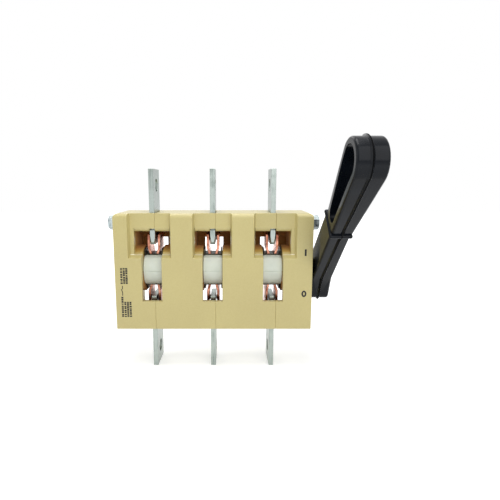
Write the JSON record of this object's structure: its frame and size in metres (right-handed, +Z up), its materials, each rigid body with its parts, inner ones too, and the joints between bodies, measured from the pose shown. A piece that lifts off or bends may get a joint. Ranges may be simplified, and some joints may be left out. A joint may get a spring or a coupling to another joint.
{
  "type": "switch disconnector",
  "caption": "Open three-pole switch disconnector with clamped moulded housing, double-break rotary blades, terminal bars and a side loop handle.",
  "frame": {"origin": "centre of the mounting plane, which the rear faces of the four feet lie in", "axes": "+X to the right along the shaft, towards the handle; +Y back into the panel; +Z up, along the terminal bars"},
  "size_m": [0.2299, 0.1826, 0.2226],
  "materials": {
    "beige_moulding": "fine matte moulded surface",
    "tinned_copper": "bright tin plating, drawn along the bar",
    "zinc_steel": "bright zinc plating",
    "white_plastic": "plain moulded",
    "brass": "turned",
    "dark_steel": "blackened, half gloss",
    "ivory_moulding": "smooth, half matte",
    "copper": "bare copper, slightly dulled",
    "black_moulding": "satin moulded"
  },
  "bodies": {
    "housing": {"left_end_housing": "beige_moulding", "left_centre_housing": "beige_moulding", "right_centre_housing": "beige_moulding", "right_end_housing": "beige_moulding", "left_feet": "beige_moulding", "right_feet": "beige_moulding", "upper_contact_1": "tinned_copper", "upper_contact_2": "tinned_copper", "upper_contact_3": "tinned_copper", "lower_contact_1": "tinned_copper", "lower_contact_2": "tinned_copper", "lower_contact_3": "tinned_copper", "upper_tie_rod": "zinc_steel", "lower_tie_rod": "zinc_steel", "upper_insulating_sleeve": "white_plastic", "lower_insulating_sleeve": "white_plastic", "upper_left_washers": "zinc_steel", "upper_right_washers": "zinc_steel", "lower_left_washers": "zinc_steel", "lower_right_washers": "zinc_steel", "upper_left_nut": "zinc_steel", "upper_right_nut": "zinc_steel", "lower_left_nut": "zinc_steel", "lower_right_nut": "zinc_steel", "panel_inserts": "brass"},
    "rotor": {"drum_1": "ivory_moulding", "drum_2": "ivory_moulding", "drum_3": "ivory_moulding", "left_blade_1": "copper", "left_blade_2": "copper", "left_blade_3": "copper", "right_blade_1": "copper", "right_blade_2": "copper", "right_blade_3": "copper", "drum_plates_1": "dark_steel", "drum_plates_2": "dark_steel", "drum_plates_3": "dark_steel", "link_shaft_1": "dark_steel", "link_shaft_2": "dark_steel", "handle_shaft": "dark_steel", "inner_handle_half": "black_moulding", "outer_handle_half": "black_moulding", "handle_screw": "zinc_steel"}
  },
  "joints": [
    {"name": "switch_shaft", "type": "hinge", "parent": "housing", "child": "rotor", "pos_m": [0, -0.046, 0], "axis": [1, 0, 0], "range_deg": [0, 87]}
  ]
}
